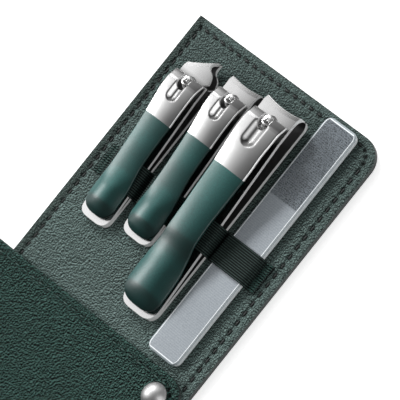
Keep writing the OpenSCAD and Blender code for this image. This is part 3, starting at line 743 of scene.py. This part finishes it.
def band_path(dy):
    """Middle line of the elastic at dy from the band's middle: X and height."""
    pts = [(BAND_LEFT, MIDDLE)]
    for x, half, top, rise in HELD:
        h = top + rise * dy + BAND_GAP + MIDDLE
        w = half + BAND_GAP + MIDDLE
        side = [(-w - 0.9, MIDDLE), (-w - 0.55, 0.46), (-w - 0.22, 0.75), (-w - 0.05, 1.2),
                (-w, h - 1.3), (-w + 0.12, h - 0.6), (-w + 0.45, h - 0.18), (-w + 1.0, h)]
        pts += [(x + a, z) for a, z in side] + [(x - a, z) for a, z in side[::-1]]
    return pts + [(BAND_END, MIDDLE)]


def with_normals(path):
    """The path in finer steps on its long runs, with the way up from it at each point."""
    fine = []
    for (xa, za), (xb, zb) in zip(path, path[1:]):
        steps = max(1, round(math.hypot(xb - xa, zb - za) / 1.5)) if abs(xb - xa) > 2 else 1
        fine += [(xa + (xb - xa) * j / steps, za + (zb - za) * j / steps) for j in range(steps)]
    fine.append(path[-1])
    line = []
    for j, (x, z) in enumerate(fine):
        xa, za = fine[max(j - 1, 0)]
        xb, zb = fine[min(j + 1, len(fine) - 1)]
        length = math.hypot(xb - xa, zb - za)
        line.append((x, z, -(zb - za) / length, (xb - xa) / length))
    return line


def build_band():
    """Ribbed elastic over the tools, with the tacks at its sewn ends."""
    rings, seam = [], []
    count = RIBS * STEPS_PER_RIB
    for i in range(count + 1):
        t = i / count
        dy = (t - 0.5) * (BAND_W - 0.3)
        ridge = abs(math.sin(math.pi * RIBS * t)) ** 0.6
        out = VALLEY + RIDGE * ridge
        line = with_normals(band_path(dy))
        ring = [(x + nx * out, z + nz * out) for x, z, nx, nz in line]
        ring += [(x - nx * BACK, z - nz * BACK) for x, z, nx, nz in line[::-1]]
        rings.append([at(x, -BAND_Y + dy, LEAF_T + max(z, 0.02)) for x, z in ring])
        seam += [ridge] * len(line) + [0.0] * len(line)
    band = loops_piece("elastic_band_ribbed", rings, [ELASTIC], None, seam)
    dress(band, "tool_board", "elastic_band")
    pairs = []
    for x0, x1 in TACKS:
        for i in range(12):
            y = -BAND_Y - 4.9 + 0.89 * i
            pairs.append((at(x0, y - 0.25, LEAF_T + 0.62), at(x1, y + 0.25, LEAF_T + 0.62)))
    dress(threads("elastic_band_tacks", pairs, 0.24, THREAD, 1.6), "tool_board")


build_band()

# glass file: middle, distance from the top edge, length, half width, thickness, corner radius and
# bevel, the ground rim inside the bevel, and where the frosted part begins
FILE_X, FILE_TOP, FILE_L, FILE_HALF, FILE_T, FILE_R, FILE_BEVEL = 66.5, 1.4, 92.0, 6.55, 2.6, 2.6, 0.55
FILE_RIM, FROST_Y = 0.22, -31.8
# Distances of the rows from each end, and how many of them are in the bevel
END_ROWS = (0, 0.04, 0.12, 0.24, 0.4, 0.62, 0.95, 1.35, 1.9, 2.6)
BEVEL_ROWS = 5


def build_file():
    """Plate with ground bevels, frosted over its lower part."""
    end = -FILE_TOP - FILE_L
    ys = [-FILE_TOP - d for d in END_ROWS] + [FROST_Y + 0.01, FROST_Y - 0.01, -FILE_TOP - FILE_L / 2]
    ys += [end + d for d in END_ROWS[::-1]]
    rings = []
    for y in ys:
        d = min(-FILE_TOP - y, y - end)
        back = FILE_R - math.sqrt(max(FILE_R ** 2 - (FILE_R - min(d, FILE_R)) ** 2, 0.0))
        half = FILE_HALF - back
        b, e = FILE_BEVEL, max(FILE_BEVEL - d, 0.0)
        rim = b - e + FILE_RIM
        sec = [(-half, b), (-half, FILE_T - b), (-half + b - e, FILE_T - e), (-half + rim, FILE_T - e),
               (half - rim, FILE_T - e), (half - b + e, FILE_T - e), (half, FILE_T - b), (half, b),
               (half - b + e, e), (-half + b - e, e)]
        rings.append([at(FILE_X + x, y, LEAF_T + z) for x, z in sec])
    ob = loops_piece("glass_file_plate", rings, [FROSTED, CLEAR, GROUND, BEVELLED])
    bevels, flats = (1, 5, 7, 9), (3, 8)
    last = len(ys) - 2 - BEVEL_ROWS
    for i, poly in enumerate(ob.data.polygons):
        row, col = divmod(i, 10)
        if row < BEVEL_ROWS or row > last or col in bevels:
            poly.material_index = 3
        elif col not in flats or row in (BEVEL_ROWS, last):
            poly.material_index = 2
        elif ys[row] > FROST_Y:
            poly.material_index = 1
    dress(ob, "file", "glass_file")


build_file()

# nodes that keep their exact shape
def ease(name, ob):
    """Small rounded edges on an arm, and steel painted dark as shade on the faces that look at the other
    arm.
    """
    facing = 1 if name.endswith("_lower_arm") else -1
    ob.data.materials.append(SHADE_STEEL)
    for poly in ob.data.polygons:
        poly.material_index = 1 if poly.normal.z * facing > 0.3 else 0
    edge = ob.modifiers.new("eased_edges", "BEVEL")
    edge.width = 0.3 * MM
    edge.segments = 2
    edge.limit_method = "ANGLE"
    edge.angle_limit = math.radians(50)
    edge.use_clamp_overlap = True
    edge.harden_normals = True


for name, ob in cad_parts.items():
    arm = name.endswith("_arm")
    if arm or name.endswith(("_post", "_rivet", "_stud", "_socket", "_cap")):
        ob.data.materials.clear()
        ob.data.materials.append(SNAP if name.startswith("snap") else ARM if arm else STEEL)
        if arm:
            ease(name, ob)

# stage
FLOOR_HALF, FLOOR_Z = 3, -0.00005
floor_mesh = bpy.data.meshes.new("floor")
floor_mesh.from_pydata([(-FLOOR_HALF, -FLOOR_HALF, 0), (FLOOR_HALF, -FLOOR_HALF, 0),
                        (FLOOR_HALF, FLOOR_HALF, 0), (-FLOOR_HALF, FLOOR_HALF, 0)], [], [(0, 1, 2, 3)])
floor = bpy.data.objects.new("floor", floor_mesh)
floor.location.z = FLOOR_Z
bpy.context.scene.collection.objects.link(floor)
FLOOR = Nodes("pale_floor")
FLOOR.set(Base_Color=(0.86, 0.86, 0.86, 1), Roughness=0.95, Specular_IOR_Level=0.0)
rays = FLOOR.new("ShaderNodeLightPath").outputs
seen = FLOOR.math("MAXIMUM", rays["Is Camera Ray"],
                  FLOOR.math("MAXIMUM", rays["Is Glossy Ray"], rays["Is Transmission Ray"]))
FLOOR.set(Emission_Color=(1, 1, 1, 1), Emission_Strength=FLOOR.math("MULTIPLY", seen, 0.55))
floor_mesh.materials.append(FLOOR.mat)


AIM = Vector((0, 0.02, 0))


def lamp(name, size, energy, place, size_y=None):
    """A soft lamp aimed at the case."""
    data = bpy.data.lights.new(name, "AREA")
    data.energy = energy
    data.size = size
    if size_y:
        data.shape = "RECTANGLE"
        data.size_y = size_y
    ob = bpy.data.objects.new(name, data)
    ob.location = place
    ob.rotation_mode = "QUATERNION"
    ob.rotation_quaternion = (AIM - Vector(place)).to_track_quat("-Z", "Y")
    bpy.context.scene.collection.objects.link(ob)


lamp("softbox", 1.8, 7.5, (-0.93, 0.2, 0.87), 1.4)
lamp("key", 0.2, 11.0, (-0.85, 0.62, 0.75))
lamp("accent", 0.34, 8.5, (-0.95, -0.2, 0.66))
lamp("fill", 0.9, 2.5, (-0.25, 1.15, 0.75))
lamp("rim", 0.6, 5.5, (0.97, 0.1, 0.7), 0.7)

world = bpy.data.worlds.new("studio")
bpy.context.scene.world = world
world.use_nodes = True
background = world.node_tree.nodes["Background"]
background.inputs["Color"].default_value = (1, 1, 1, 1)
background.inputs["Strength"].default_value = 0.12

# camera
FOCAL_PX, PHOTO_PX, SENSOR = 3839.1, 400.0, 36.0
CAMERA_AT = (611.95, -84.3, 1068.73)
# The camera's right, up and back
CAMERA_AXES = ((0.6983, 0.6234, -0.3518), (-0.5386, 0.7813, 0.3154), (0.4715, -0.0307, 0.8814))
cam_data = bpy.data.cameras.new("camera")
cam_data.sensor_width = SENSOR
cam_data.lens = FOCAL_PX * SENSOR / PHOTO_PX
cam_data.clip_end = 20
cam = bpy.data.objects.new("camera", cam_data)
bpy.context.scene.collection.objects.link(cam)
cam.rotation_mode = "QUATERNION"
cam.rotation_quaternion = Matrix(CAMERA_AXES).transposed().to_quaternion()
cam.location = at(*CAMERA_AT)
bpy.context.scene.camera = cam

bpy.context.scene.view_settings.view_transform = "Standard"
